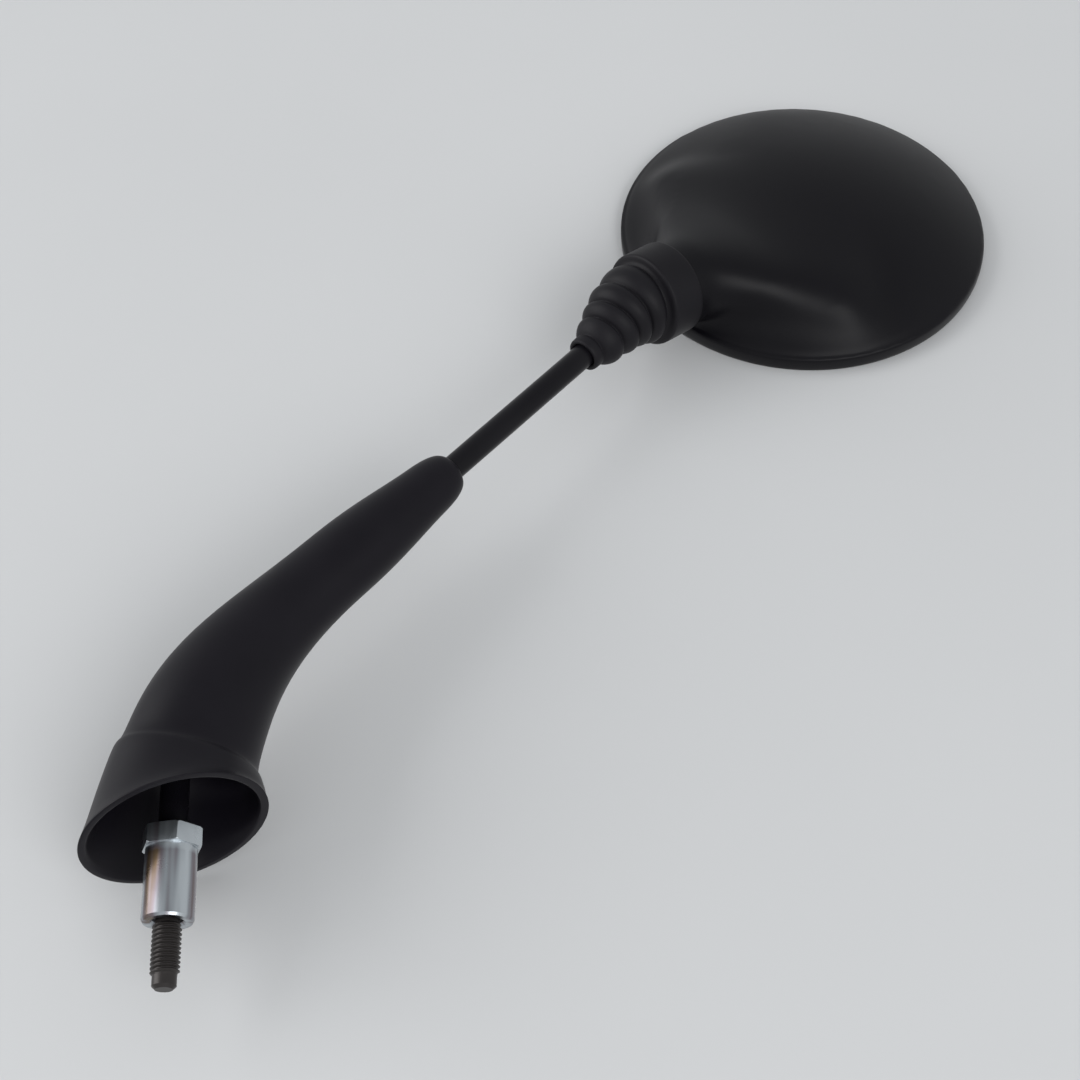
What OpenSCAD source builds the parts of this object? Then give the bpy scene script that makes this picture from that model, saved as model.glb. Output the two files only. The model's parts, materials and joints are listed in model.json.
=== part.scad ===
// Round handlebar mirror on a bent rod, with a rubber arm cover and a ball joint under a bellows.
// Units are millimetres. The origin is on the stud's axis at the top of its free thread, just
// below the lock nut. +Z runs up that axis, the rod bends in the XZ plane and leans to -X, and the
// glass looks towards -Y.

/* [Rod] */
// Diameter of the steel rod and of its thread
rod_d = 8; // [7:0.5:9]
// Height of the bend's corner above the top of the free thread
bend_height = 64.2; // [60:0.2:72]
// Lean of the stem from the stud's axis, in degrees
rod_lean = 43.75; // [40:0.05:47]
// Radius of the bend, on the rod's centre line
bend_r = 26; // [22:1:34]
// Distance from the bend's corner to the centre of the ball
stem_run = 217.4; // [205:0.2:240]
// Length of the stud below the top of its free thread
stud_len = 17.7; // [14:0.1:26]
// Diameter of the plain point at the thread's end
point_d = 6.6; // [5.8:0.1:6.8]
// Length of the plain point
point_len = 3.6; // [2.5:0.1:5]
// Chamfer at the end of the point
point_chamfer = 0.9; // [0.5:0.1:1.2]
// Diameter of the groove that the thread runs out into, inside the nut's mouth
groove_d = 6.8; // [6.2:0.1:6.9]
// Length of that groove
groove_len = 1.5; // [1:0.1:2.5]

/* [Lock nut] */
// Width across the flats of the nut's hexagon
nut_af = 15; // [14:0.5:17]
// Height of the hexagon
nut_hex_h = 5.5; // [5:0.1:7]
// Outer diameter of the nut's sleeve
sleeve_d = 14.2; // [13:0.1:14.6]
// Length of the sleeve below the hexagon
sleeve_len = 20.5; // [16:0.1:24]
// Height of the nut's mounting face above the top of the free thread
nut_lift = 0.3; // [0.2:0.1:0.8]
// Chamfer on the hexagon's corners and at the ends of the sleeve
nut_chamfer = 0.8; // [0.5:0.1:1]
// Turn of the hexagon about the stud, in degrees
nut_turn = 12; // [0:1:59]
// Radial running clearance between nut and rod
nut_clearance = 0.05; // [0.02:0.01:0.1]

/* [Arm cover] */
// Radius of the skirt's round rim
skirt_r = 26.8; // [25:0.1:30]
// Height of the rim's centre above the top of the free thread
skirt_height = 26.4; // [24:0.1:30]
// Rake of the rim towards the stem's side, in degrees
skirt_rake = 17; // [10:1:20]
// Rake of the rim towards the back, in degrees
skirt_back_rake = 10.2; // [0:0.1:14]
// Offset of the rim's centre from the stud towards the stem's side
skirt_shift = 0.5; // [0:0.1:1]
// Wall of the skirt
skirt_wall = 2.4; // [2:0.1:3]
// Height of the shoulder where the skirt meets the arm
shoulder_height = 48; // [45:0.5:52]
// Step of the shoulder
shoulder_step = 1.7; // [1:0.1:2.4]
// Half width of the arm above the shoulder, in the plane of the bend
arm_base_r = 19.2; // [18:0.1:21]
// Half width of the arm at the middle of its length
arm_mid_r = 11.9; // [11:0.1:14]
// Half width of the arm just before its rounded end
arm_end_r = 6.6; // [6.4:0.1:8]
// Depth of the arm, as a share of its width
arm_depth_share = 0.9; // [0.8:0.01:1]
// Wall of the arm
arm_wall = 3; // [2.5:0.1:4]
// Distance from the bend's corner to the arm cover's end
cover_run = 114.2; // [105:0.1:125]
// Length of the close hole that grips the rod
grip_len = 18; // [12:1:26]
// Radial clearance between that hole and the rod
grip_clearance = 0.1; // [0.05:0.01:0.2]

/* [Ball joint] */
// Diameter of the ball
ball_d = 13; // [12.4:0.1:13.4]
// Diameter of the rod's riveted spigot in the ball
spigot_d = 5; // [4:0.1:5.5]
// Thickness of the plastic liner around the ball
liner_t = 1.4; // [1.2:0.1:1.6]
// Length of the liner along the neck's axis
liner_len = 6.4; // [5.6:0.1:6.6]
// Radial clearance between the ball, its liner and its socket
ball_clearance = 0.06; // [0.04:0.01:0.1]
// Distance from the ball's centre to the back of the socket cup
cup_back = 11; // [10.6:0.1:11.6]
// Distance from the ball's centre to the back of the thrust cup
thrust_back = 8.2; // [7.8:0.1:8.4]
// Thickness of a disc spring
spring_t = 0.8; // [0.6:0.05:0.9]
// Thickness of the clamp plate
clamp_t = 1.6; // [1.2:0.1:2]
// Number of screws in the clamp plate
SCREWS = 4; // [3:1:4]
// Diameter of a clamp screw's shank
screw_d = 2.5; // [2:0.1:2.8]
// Length of a clamp screw below its head
screw_len = 8; // [6:0.5:9]
// Diameter of a clamp screw's head
screw_head_d = 4.4; // [4:0.1:4.6]
// Height of a clamp screw's head
screw_head_h = 1.7; // [1.4:0.1:2]

/* [Pose of the head] */
// Turn of the head about the stem's axis, in degrees
swivel = -146.7; // [-180:0.1:180]
// Tilt of the neck away from the stem's axis, in degrees
tilt = 11; // [4:0.1:18]
// Turn of the head about its neck's axis, in degrees
spin = -135; // [-180:0.1:180]

/* [Head] */
// Radius of the round head
head_r = 65.8; // [60:0.1:70]
// Height of the head's straight rim
rim_h = 5.5; // [4:0.1:6]
// Rise of the domed back above the rim
dome_rise = 20.5; // [18:0.5:24]
// Rounding where the dome meets the rim
rim_round = 3; // [2:0.5:6]
// Wall of the head's shell
shell_wall = 2.2; // [1.8:0.1:2.6]
// Distance of the ball's centre outside the head's rim
neck_reach = 9.4; // [8:0.1:14]
// Height of the ball's centre above the rim's plane
ball_height = 23.5; // [22:0.1:26]
// Fall of the neck's axis into the head, in degrees
neck_fall = 10; // [7:0.5:12]
// Outer radius of the neck
neck_r = 14.9; // [14.6:0.1:15.4]
// Length of the neck outside the ball's centre
neck_mouth = 5; // [4.6:0.1:5.4]
// Thickness of the lip in the neck's mouth
lip_t = 1.2; // [1:0.1:1.4]
// Radius of the hole in that lip
lip_hole_r = 7.3; // [7.1:0.1:7.6]
// Growth of the neck's half width where it fans out, for each unit of length
neck_fan_share = 1; // [0.7:0.05:1.1]
// Distance from the ball's centre at which the neck begins to fan out
fan_start = 11; // [9:0.5:16]
// Length over which that growth comes up to its full share
fan_soft = 9; // [6:0.5:14]
// Loss of the neck's half height behind the clamp, for each unit of length
neck_flat_share = 0.13; // [0.06:0.01:0.15]
// Depth to which the neck's round form runs into the head, from the ball's centre
neck_len = 78; // [70:1:82]
// Softness of the fairing between neck and dome
fairing_r = 8; // [6:0.5:14]
// Length over which the fairing grows to its full softness
fairing_run = 14; // [8:0.5:24]

/* [Glass] */
// Radius of the curve of the convex glass
glass_curve_r = 1200; // [800:50:2000]
// Thickness of the glass
glass_t = 2.2; // [1.8:0.1:2.8]
// Depth of the glass's crown behind the rim's plane
glass_inset = 0.8; // [0.6:0.1:1.2]
// Thickness of the foam pad behind the glass
pad_t = 1.2; // [0.8:0.1:1.4]
// Thickness of the backing plate
plate_t = 1.4; // [1:0.1:1.5]
// Margin of the backing plate inside the glass's edge
plate_margin = 6; // [5:0.5:9]
// Thickness of the retaining bezel's wall
bezel_wall = 0.8; // [0.6:0.1:1]
// Width of the bezel's lip over the glass
bezel_lip = 1.5; // [1:0.1:2]
// Gap between pieces that lie one in the other in the head
seat_gap = 0.15; // [0.1:0.05:0.25]

/* [Bellows boot] */
// Outer radius of the cuff on the neck
cuff_r = 16.3; // [16.1:0.1:17]
// Distance from the ball's centre to the cuff's edge on the head's side
cuff_end = 7.4; // [6:0.1:8]
// Length of the cuff
cuff_len = 12.9; // [10.5:0.1:13.5]
// Outer radius of the lip on the rod
boot_lip_r = 6; // [5.6:0.1:6.6]
// Distance from the ball's centre to the lip's free end
boot_run = 38; // [34:0.5:44]
// Length of that lip
boot_lip_len = 4.2; // [3:0.1:5]
// Number of folds
FOLDS = 4; // [3:1:6]
// Outer radius of the smallest fold
fold_small_r = 7.5; // [7.3:0.1:9]
// Outer radius of the largest fold
fold_large_r = 14.9; // [14:0.1:15.2]
// Depth of the grooves between the folds
fold_depth = 1.9; // [1.2:0.1:2.2]
// Outer radius of the collar between the last fold and the cuff
collar_r = 15.4; // [15:0.1:15.8]
// Length of that collar
collar_len = 1.3; // [1.2:0.1:2]
// Wall of the bellows
boot_wall = 1; // [0.8:0.1:1.2]
// Clearance of the boot on the rod and on the neck
boot_clearance = 0.1; // [0.05:0.01:0.2]

/* [Hidden] */

// Overrun of every cut
cut = 1;
// Facets of turned faces
TURNED = 96;
// Points around the swept skins of the arm cover, the boot and the head
AROUND_ARM = 40;
AROUND_BOOT = 32;
AROUND_HEAD = 64;

rod_r = rod_d / 2;
ball_r = ball_d / 2;
screw_r = screw_d / 2;
// Distance from the head's axis to the ball's centre
ball_reach = head_r + neck_reach;
// Length that the bend takes from each straight at its corner
bend_cut = bend_r * tan(rod_lean / 2);
nut_h = sleeve_len + nut_hex_h;

// Shared functions for the swept skins

function unit(v) = v / norm(v);
function mix(a, b, t) = a + (b - a) * t;
function smooth(t) = let (c = max(0, min(1, t))) c * c * (3 - 2 * c);
function bezier(p, t) =
    len(p) == 1 ? p[0] : bezier([for (i = [0:len(p) - 2]) mix(p[i], p[i + 1], t)], t);

// Direction in the plane of the bend that leans by an angle from the stud's axis
function leaning(angle) = [-sin(angle), 0, cos(angle)];
// Point on the stem's axis at a distance from the bend's corner
function on_stem(run) = [0, 0, bend_height] + run * leaning(rod_lean);

// Ring of points around a centre, square to an axis, wide along X and deep along Y
function ring(centre, axis, wide, deep, count) =
    let (across = unit(cross([0, 1, 0], axis)), back = cross(axis, across))
    [for (i = [0:count - 1])
        centre + wide * cos(360 * i / count) * across + deep * sin(360 * i / count) * back];

// Closed skin through rings that run up the outside and back down the inside. The quads are cut
// in mirrored ways on the two sides of the rings' plane of symmetry.
module tube_skin(rings) {
    count = len(rings[0]);
    total = len(rings);
    polyhedron(
        points = [for (r = rings) each r],
        faces = [for (j = [0:total - 1], i = [0:count - 1])
            let (a = j * count + i, b = j * count + (i + 1) % count,
                 c = ((j + 1) % total) * count + (i + 1) % count,
                 d = ((j + 1) % total) * count + i)
            each (i < count / 2 ? [[a, d, b], [b, d, c]] : [[a, c, b], [a, d, c]])],
        convexity = 8);
}

// The stem turns about the bend's centre, so the straights and the bend share their end faces
module along_stem(run) {
    translate([-bend_r, 0, bend_height - bend_cut]) rotate([0, -rod_lean, 0])
        translate([bend_r, 0, run - bend_cut]) children();
}

// The neck's frame: origin at the ball, +Z down the neck's axis into the head
module in_neck() {
    along_stem(stem_run) rotate([0, 0, swivel]) rotate([0, tilt, 0]) rotate([0, 0, spin]) children();
}

// The head's frame: origin on the head's axis in the rim's plane, +X to the neck, +Z to the back
module in_head() {
    in_neck() rotate([0, 90 + neck_fall, 0]) translate([-ball_reach, 0, -ball_height]) children();
}

// Rod, bent from one length, with its thread below and a riveted ball above

// Share of the ball's radius at which the rod steps down to its spigot
spigot_share = 0.52;
spigot_start = spigot_share * ball_r;
spigot_end = sqrt(ball_r * ball_r - spigot_d * spigot_d / 4) - ball_clearance;

module stem_rod() {
    color("dimgray") {
        translate([0, 0, -stud_len])
            cylinder(d1 = point_d - 2 * point_chamfer, d2 = point_d, h = point_chamfer, $fn = TURNED);
        translate([0, 0, point_chamfer - stud_len])
            cylinder(d = point_d, h = point_len - point_chamfer, $fn = TURNED);
        translate([0, 0, point_len - stud_len])
            cylinder(d = rod_d, h = stud_len - point_len, $fn = TURNED);
        cylinder(d = groove_d, h = groove_len, $fn = TURNED);
        translate([0, 0, groove_len])
            cylinder(d = rod_d, h = bend_height - bend_cut - groove_len, $fn = TURNED);
        translate([-bend_r, 0, bend_height - bend_cut]) rotate([90, 0, 0])
            rotate_extrude(angle = rod_lean, $fn = 2 * TURNED)
                translate([bend_r, 0]) circle(d = rod_d, $fn = TURNED);
        along_stem(bend_cut)
            cylinder(d = rod_d, h = stem_run - bend_cut - spigot_start, $fn = TURNED);
        along_stem(stem_run - spigot_start - cut)
            cylinder(d = spigot_d, h = cut + spigot_start + spigot_end, $fn = TURNED);
    }
}

module stem_ball() {
    color("silver") along_stem(stem_run) difference() {
        sphere(r = ball_r, $fn = TURNED);
        translate([0, 0, -ball_r - cut])
            cylinder(d = rod_d, h = ball_r + cut - spigot_start, $fn = TURNED);
        translate([0, 0, -spigot_start - cut])
            cylinder(d = spigot_d, h = spigot_start + ball_r + 2 * cut, $fn = TURNED);
    }
}

// Lock nut: hexagon and sleeve in one piece

module lock_nut() {
    bore_r = rod_r + nut_clearance;
    corner_r = nut_af / 2 / cos(30);
    color("lightgray") translate([0, 0, nut_lift]) rotate([0, 0, nut_turn]) difference() {
        union() {
            translate([0, 0, nut_chamfer])
                cylinder(d = sleeve_d, h = sleeve_len - nut_chamfer, $fn = TURNED);
            cylinder(d1 = sleeve_d - nut_chamfer, d2 = sleeve_d, h = nut_chamfer, $fn = TURNED);
            intersection() {
                translate([0, 0, sleeve_len]) cylinder(r = corner_r, h = nut_hex_h, $fn = 6);
                translate([0, 0, sleeve_len])
                    cylinder(r1 = corner_r + nut_hex_h - nut_chamfer / 2,
                             r2 = corner_r - nut_chamfer / 2, h = nut_hex_h, $fn = TURNED);
                translate([0, 0, sleeve_len])
                    cylinder(r1 = corner_r - nut_chamfer / 2,
                             r2 = corner_r + nut_hex_h - nut_chamfer / 2, h = nut_hex_h,
                             $fn = TURNED);
            }
        }
        translate([0, 0, -cut]) cylinder(r = bore_r, h = nut_h + 2 * cut, $fn = TURNED);
        translate([0, 0, -cut])
            cylinder(r1 = bore_r + nut_chamfer + cut, r2 = bore_r, h = nut_chamfer + cut,
                     $fn = TURNED);
        translate([0, 0, nut_h - nut_chamfer])
            cylinder(r1 = bore_r, r2 = bore_r + nut_chamfer + cut, h = nut_chamfer + cut,
                     $fn = TURNED);
    }
}

// Arm cover: one moulding, a curved tapering arm that opens into an oblique skirt

skirt_axis = unit([sin(skirt_rake), -sin(skirt_back_rake), cos(skirt_rake)]);
skirt_centre = [-skirt_shift, 0, skirt_height];
// The arm's spine leaves the shoulder with its own lean and ends on the rod's axis
shoulder_lean = 12.5;
shoulder_shift_share = 0.18;
shoulder_shift = shoulder_shift_share * arm_base_r;
// Shares of the arm's run by which each end of its spine holds its own direction
lower_hold_share = 0.31;
upper_hold_share = 0.6;
shoulder_centre = [-shoulder_shift, 0, shoulder_height];
arm_end = on_stem(cover_run);
spine = [shoulder_centre,
         shoulder_centre + lower_hold_share * cover_run * leaning(shoulder_lean),
         arm_end - upper_hold_share * cover_run * leaning(rod_lean), arm_end];
// Share of the spine where the arm's rounded end begins
round_share = 0.93;

function spine_at(t) = bezier(spine, t);
function spine_axis(t) = unit(bezier([for (i = [0:2]) spine[i + 1] - spine[i]], t));
// Half width of the arm: it narrows through the bend, stays level and draws in at its end
waist_share = 0.72;
taper_share = 0.74;
function arm_half(t) =
    mix(mix(arm_base_r, arm_mid_r, smooth(t / waist_share)), arm_end_r,
        smooth((t - taper_share) / (waist_share / 2)));
function arm_ring(t, shrink) = ring(spine_at(t), spine_axis(t), arm_half(t) - shrink,
                                    arm_half(t) * arm_depth_share - shrink, AROUND_ARM);
// The arm's end is a quarter round from its full width to a flat ring around the rod
function end_ring(angle) =
    let (t = mix(round_share, 1, sin(angle)), full = arm_half(round_share),
         half = mix(rod_r + arm_wall / 2, full, cos(angle)))
    ring(spine_at(t), spine_axis(t), half, mix(half, half * arm_depth_share, cos(angle)), AROUND_ARM);
// The skirt flares from the shoulder to its round rim, slightly hollow on the way
flare_share = 0.68;
// Shares of the skirt's length that its rim's rounding takes, and at which its outer and its
// inner face end below the shoulder
skirt_edge_share = 0.01;
skirt_end_share = 0.96;
skirt_inner_share = 0.9;
// Shares of the shoulder's step by which its upper edge is rounded
roll_shares = [0.3, 0.15];
// Share of the grip's length by which the arm's inside ends below it
grip_fall_share = 0.9;
// Rings along each length of the cover
SKIRT_STEPS = 6;
ARM_STEPS = 15;
END_STEPS = 4;
INSIDE_STEPS = 9;
function skirt_ring(t, shrink) =
    let (wide = mix(skirt_r, arm_base_r + shoulder_step, pow(t, flare_share)),
         deep = mix(skirt_r, (arm_base_r + shoulder_step) * arm_depth_share, pow(t, flare_share)))
    ring(mix(skirt_centre, shoulder_centre - shoulder_step * leaning(shoulder_lean), t),
         unit(mix(skirt_axis, leaning(shoulder_lean), t)), wide - shrink, deep - shrink, AROUND_ARM);

module arm_cover() {
    grip_r = (rod_r + grip_clearance) / cos(180 / AROUND_ARM);
    grip_share = round_share - grip_fall_share * grip_len / cover_run;
    color([0.13, 0.13, 0.14]) tube_skin(concat(
        [skirt_ring(0, skirt_wall / 3), skirt_ring(skirt_edge_share, 0)],
        [for (i = [1:SKIRT_STEPS]) skirt_ring(i / SKIRT_STEPS * skirt_end_share, 0)],
        [skirt_ring(1, shoulder_step * roll_shares[0])],
        [arm_ring(0, -shoulder_step * roll_shares[1])],
        [for (i = [1:ARM_STEPS]) arm_ring(i / ARM_STEPS * round_share, 0)],
        [for (i = [1:END_STEPS]) end_ring(90 * i / END_STEPS)],
        [ring(arm_end, leaning(rod_lean), grip_r, grip_r, AROUND_ARM)],
        [ring(on_stem(cover_run - grip_len), leaning(rod_lean), grip_r, grip_r, AROUND_ARM)],
        [for (i = [INSIDE_STEPS:-1:0]) arm_ring(i / INSIDE_STEPS * grip_share, arm_wall)],
        [for (i = [SKIRT_STEPS - 1:-1:0])
            skirt_ring(i / (SKIRT_STEPS - 1) * skirt_inner_share, skirt_wall)]));
}

// Ball joint: the liner turns with the neck, the socket, cup, springs and plate with the head

liner_in_r = ball_r + ball_clearance;
liner_out_r = liner_in_r + liner_t;
socket_r = liner_out_r + ball_clearance;
neck_bore_r = neck_r - shell_wall;
cup_out_r = neck_bore_r - seat_gap;
cup_front = neck_mouth - lip_t - seat_gap;
screw_ring_r = (socket_r + cup_out_r) / 2;
spring_in_r = spigot_d / 2 + spring_t;
spring_out_r = socket_r - 3 * seat_gap;
spring_rise = (cup_back - thrust_back) / 2 - spring_t;
// Facets of a screw's shank and of its head
SHANK = 24;
SCREW_HEAD = 36;
function screw_turn(i) = (i + 1 / 2) * 360 / SCREWS;

module ball_liner() {
    color("ivory") in_neck() rotate_extrude($fn = TURNED) difference() {
        intersection() {
            circle(r = liner_out_r, $fn = TURNED);
            translate([0, -liner_len / 2]) square([liner_out_r + cut, liner_len]);
        }
        circle(r = liner_in_r, $fn = TURNED);
    }
}

module socket_cup() {
    color("gray") in_neck() difference() {
        translate([0, 0, -cup_front]) cylinder(r = cup_out_r, h = cup_front + cup_back, $fn = TURNED);
        sphere(r = socket_r, $fn = TURNED);
        cylinder(r = socket_r, h = cup_back + cut, $fn = TURNED);
        translate([0, 0, -cup_front - cut]) cylinder(r = lip_hole_r, h = cup_front, $fn = TURNED);
        for (i = [0:SCREWS - 1])
            rotate([0, 0, screw_turn(i)])
                translate([screw_ring_r, 0, cup_back - screw_len])
                    cylinder(r = screw_r, h = screw_len + cut, $fn = SHANK);
    }
}

module thrust_cup() {
    front = liner_len / 2 + seat_gap;
    color("gainsboro") in_neck() difference() {
        translate([0, 0, front])
            cylinder(r = socket_r - seat_gap, h = thrust_back - front, $fn = TURNED);
        sphere(r = liner_in_r, $fn = TURNED);
        cylinder(d = spigot_d, h = thrust_back + cut, $fn = TURNED);
    }
}

// Cone of sheet steel that rises from its inner edge to its outer edge
module disc_spring() {
    rotate_extrude($fn = TURNED) polygon([
        [spring_in_r, 0], [spring_out_r, spring_rise], [spring_out_r, spring_rise + spring_t],
        [spring_in_r, spring_t]]);
}

module disc_spring_front() {
    color("slategray") in_neck() translate([0, 0, thrust_back]) disc_spring();
}

module disc_spring_back() {
    color("slategray") in_neck() translate([0, 0, cup_back]) mirror([0, 0, 1]) disc_spring();
}

module clamp_plate() {
    color("silver") in_neck() translate([0, 0, cup_back]) difference() {
        cylinder(r = cup_out_r - seat_gap, h = clamp_t, $fn = TURNED);
        translate([0, 0, -cut]) cylinder(r = spring_in_r, h = clamp_t + 2 * cut, $fn = TURNED);
        for (i = [0:SCREWS - 1])
            rotate([0, 0, screw_turn(i)]) translate([screw_ring_r, 0, -cut])
                cylinder(r = screw_r + seat_gap, h = clamp_t + 2 * cut, $fn = SHANK);
    }
}

module clamp_screw(i) {
    top = cup_back + clamp_t;
    color("silver") in_neck() rotate([0, 0, screw_turn(i - 1)])
        translate([screw_ring_r, 0, 0]) difference() {
            union() {
                translate([0, 0, top - screw_len]) cylinder(r = screw_r, h = screw_len, $fn = SHANK);
                translate([0, 0, top]) cylinder(d = screw_head_d, h = screw_head_h, $fn = SCREW_HEAD);
            }
            translate([0, 0, top + screw_head_h / 2])
                cylinder(d = screw_head_d / 2, h = screw_head_h, $fn = 6);
        }
}

// Head shell: a domed cap and a flared neck, run together by one soft fairing. The skin is
// where the function below is zero, found along rays from inside the head.

neck_out = [cos(neck_fall), 0, sin(neck_fall)];
ball_at = [ball_reach, 0, ball_height];
dome_r = (head_r * head_r + dome_rise * dome_rise) / (2 * dome_rise);
dome_centre = [0, 0, rim_h + dome_rise - dome_r];

// Soft minimum and maximum of two distances, rounded over a reach
function soft_min(a, b, reach) =
    let (h = max(0, min(1, 0.5 + 0.5 * (b - a) / reach))) mix(b, a, h) - reach * h * (1 - h);
function soft_max(a, b, reach) = -soft_min(-a, -b, reach);

function cap_skin(p) =
    soft_max(norm(p - dome_centre) - dome_r, norm([p[0], p[1]]) - head_r, rim_round);
// The neck is round under the cuff, then fans out sideways, and it flattens behind the clamp
function fan_growth(d) = d <= 0 ? 0 : d * d / (d + fan_soft);
neck_round_len = cup_back + clamp_t + screw_head_h + seat_gap;
function neck_skin(p) =
    let (d = (ball_at - p) * neck_out,
         wide = neck_r + neck_fan_share * fan_growth(d - fan_start),
         tall = neck_r - neck_flat_share * max(0, d - neck_round_len),
         v = p - ball_at + d * neck_out,
         side = tall * (norm([v[1] / wide, norm([v[0], v[2]]) / tall]) - 1))
    soft_max(side, norm(p - ball_at) - neck_len, 2 * fairing_r);
function head_skin(p) =
    let (d = (ball_at - p) * neck_out,
         reach = mix(seat_gap, fairing_r, smooth((d - cuff_end) / fairing_run)))
    soft_min(cap_skin(p), neck_skin(p), reach);

// Distance along a ray at which the skin lies a given depth below zero
function ray_hit(from, dir, depth, near, far, steps = 20) =
    let (middle = (near + far) / 2)
    steps == 0 ? middle :
    head_skin(from + middle * dir) + depth > 0
        ? ray_hit(from, dir, depth, near, middle, steps - 1)
        : ray_hit(from, dir, depth, middle, far, steps - 1);

// Angle around the head for a point around the neck, drawn together beside the neck
rim_crowding = 18;
function turn_at(i) = -360 * i / AROUND_HEAD;
function rim_point(i, r, z) =
    let (w = turn_at(i), angle = w - rim_crowding * sin(w)) [r * cos(angle), r * sin(angle), z];
function neck_point(i, r, d) =
    let (w = turn_at(i))
    ball_at - d * neck_out
        + r * (cos(w) * [sin(neck_fall), 0, -cos(neck_fall)] + sin(w) * [0, 1, 0]);
function neck_ring(r, d) = [for (i = [0:AROUND_HEAD - 1]) neck_point(i, r, d)];
function rim_ring(r, z) = [for (i = [0:AROUND_HEAD - 1]) rim_point(i, r, z)];
// Rings along the outer and the inner skin, set closer together towards the neck
SKIN_STEPS = 26;
INNER_STEPS = 15;
skin_growth = 1.1;
// Point inside the head from which the skin is found, high beside the neck and low beyond it
function ray_origin(i) = [ball_reach / 2, 0, ball_height / 2 * (1 + cos(turn_at(i)) / 2)];
// Ring of skin points a share of the way along straight guides from the neck to the rim
function skin_ring(share, neck, r, rim, depth) =
    [for (i = [0:AROUND_HEAD - 1])
        let (from = ray_origin(i), dir = unit(mix(neck[i], rim[i], share) - from))
        from + ray_hit(from, dir, depth, 0, 2 * r) * dir];

module head_shell() {
    inner_r = head_r - shell_wall;
    mouth = neck_ring(neck_r, -neck_mouth);
    // The neck stays round up to here, then runs into the fairing
    collar = neck_ring(neck_r, cuff_end + seat_gap);
    bore = neck_ring(neck_bore_r, lip_t - neck_mouth);
    rim = rim_ring(head_r, rim_h);
    inner_rim = rim_ring(inner_r, rim_h);
    color([0.12, 0.12, 0.13]) in_head() tube_skin(concat(
        [mouth, collar],
        [for (j = [1:SKIN_STEPS - 1])
            skin_ring(pow(j / SKIN_STEPS, skin_growth), collar, head_r, rim, 0)],
        [rim_ring(head_r, rim_h), rim_ring(head_r, rim_h / 4)],
        [rim_ring(head_r - shell_wall / 4, 0), rim_ring(inner_r, 0), inner_rim],
        [for (j = [INNER_STEPS - 1:-1:1])
            skin_ring(pow(j / INNER_STEPS, skin_growth), bore, head_r, inner_rim, shell_wall)],
        [bore, neck_ring(lip_hole_r, lip_t - neck_mouth), neck_ring(lip_hole_r, -neck_mouth)]));
}

// Glass, its pad, its backing plate and the bezel that holds them in the rim

// The shell's inner wall has flats, so the bezel clears the middle of the widest one
widest_flat = 180 / AROUND_HEAD * (1 + rim_crowding * PI / 180);
bezel_out_r = (head_r - shell_wall) * cos(widest_flat) - seat_gap;
glass_r = bezel_out_r - bezel_wall - seat_gap;
glass_rise = glass_curve_r - sqrt(glass_curve_r * glass_curve_r - glass_r * glass_r);
pad_base = glass_inset + glass_rise + glass_t;
plate_base = pad_base + pad_t;
bezel_front = glass_inset + glass_rise - seat_gap;

// Radii at which the curve of the glass and of its pad is drawn
glass_steps = 10;
function glass_at(i) = glass_r * i / glass_steps;
// Height of the glass's outer face at a radius
function glass_z(r) =
    glass_inset + glass_curve_r - sqrt(glass_curve_r * glass_curve_r - r * r);

module mirror_glass() {
    color("lightsteelblue") in_head() rotate_extrude($fn = TURNED) polygon(concat(
        [for (i = [0:glass_steps]) [glass_at(i), glass_z(glass_at(i))]],
        [for (i = [glass_steps:-1:0]) [glass_at(i), glass_z(glass_at(i)) + glass_t]]));
}

// The pad's front follows the glass and its back is flat
module glass_pad() {
    color("dimgray") in_head() rotate_extrude($fn = TURNED) polygon(concat(
        [for (i = [0:glass_steps]) [glass_at(i), glass_z(glass_at(i)) + glass_t]],
        [[glass_r, plate_base], [0, plate_base]]));
}

module backing_plate() {
    color([0.2, 0.2, 0.2]) in_head() translate([0, 0, plate_base])
        cylinder(r = glass_r - plate_margin, h = plate_t, $fn = TURNED);
}

module glass_bezel() {
    color([0.1, 0.1, 0.1]) in_head() rotate_extrude($fn = TURNED) polygon([
        [glass_r - bezel_lip, bezel_front - bezel_wall], [bezel_out_r, bezel_front - bezel_wall],
        [bezel_out_r, pad_base], [bezel_out_r - bezel_wall, pad_base],
        [bezel_out_r - bezel_wall, bezel_front], [glass_r - bezel_lip, bezel_front]]);
}

// Bellows boot: folds that grow from a lip on the rod to a cuff on the neck. Its spine bends
// with the joint, from the stem's axis to the neck's axis.

function turned_z(v, a) = [v[0] * cos(a) - v[1] * sin(a), v[0] * sin(a) + v[1] * cos(a), v[2]];
function turned_y(v, a) = [v[0] * cos(a) + v[2] * sin(a), v[1], v[2] * cos(a) - v[0] * sin(a)];
ball_centre = on_stem(stem_run);
neck_axis = turned_y(turned_z(turned_y([0, 0, 1], tilt), swivel), -rod_lean);
// Share of the boot's run by which each end of its spine holds its own direction
boot_hold_share = 0.3;
fold_start = on_stem(stem_run - boot_run + boot_lip_len);
collar_start = cuff_end - cuff_len - collar_len;
fold_end = ball_centre + collar_start * neck_axis;
boot_spine = [fold_start, fold_start + boot_hold_share * boot_run * leaning(rod_lean),
              fold_end - boot_hold_share * boot_run * neck_axis, fold_end];
// Share by which the folds grow sooner than in step with the length
growth_share = 0.85;
FOLD_STEPS = 6;

function fold_peak(t) = mix(fold_small_r, fold_large_r, pow(t, growth_share));
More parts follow.
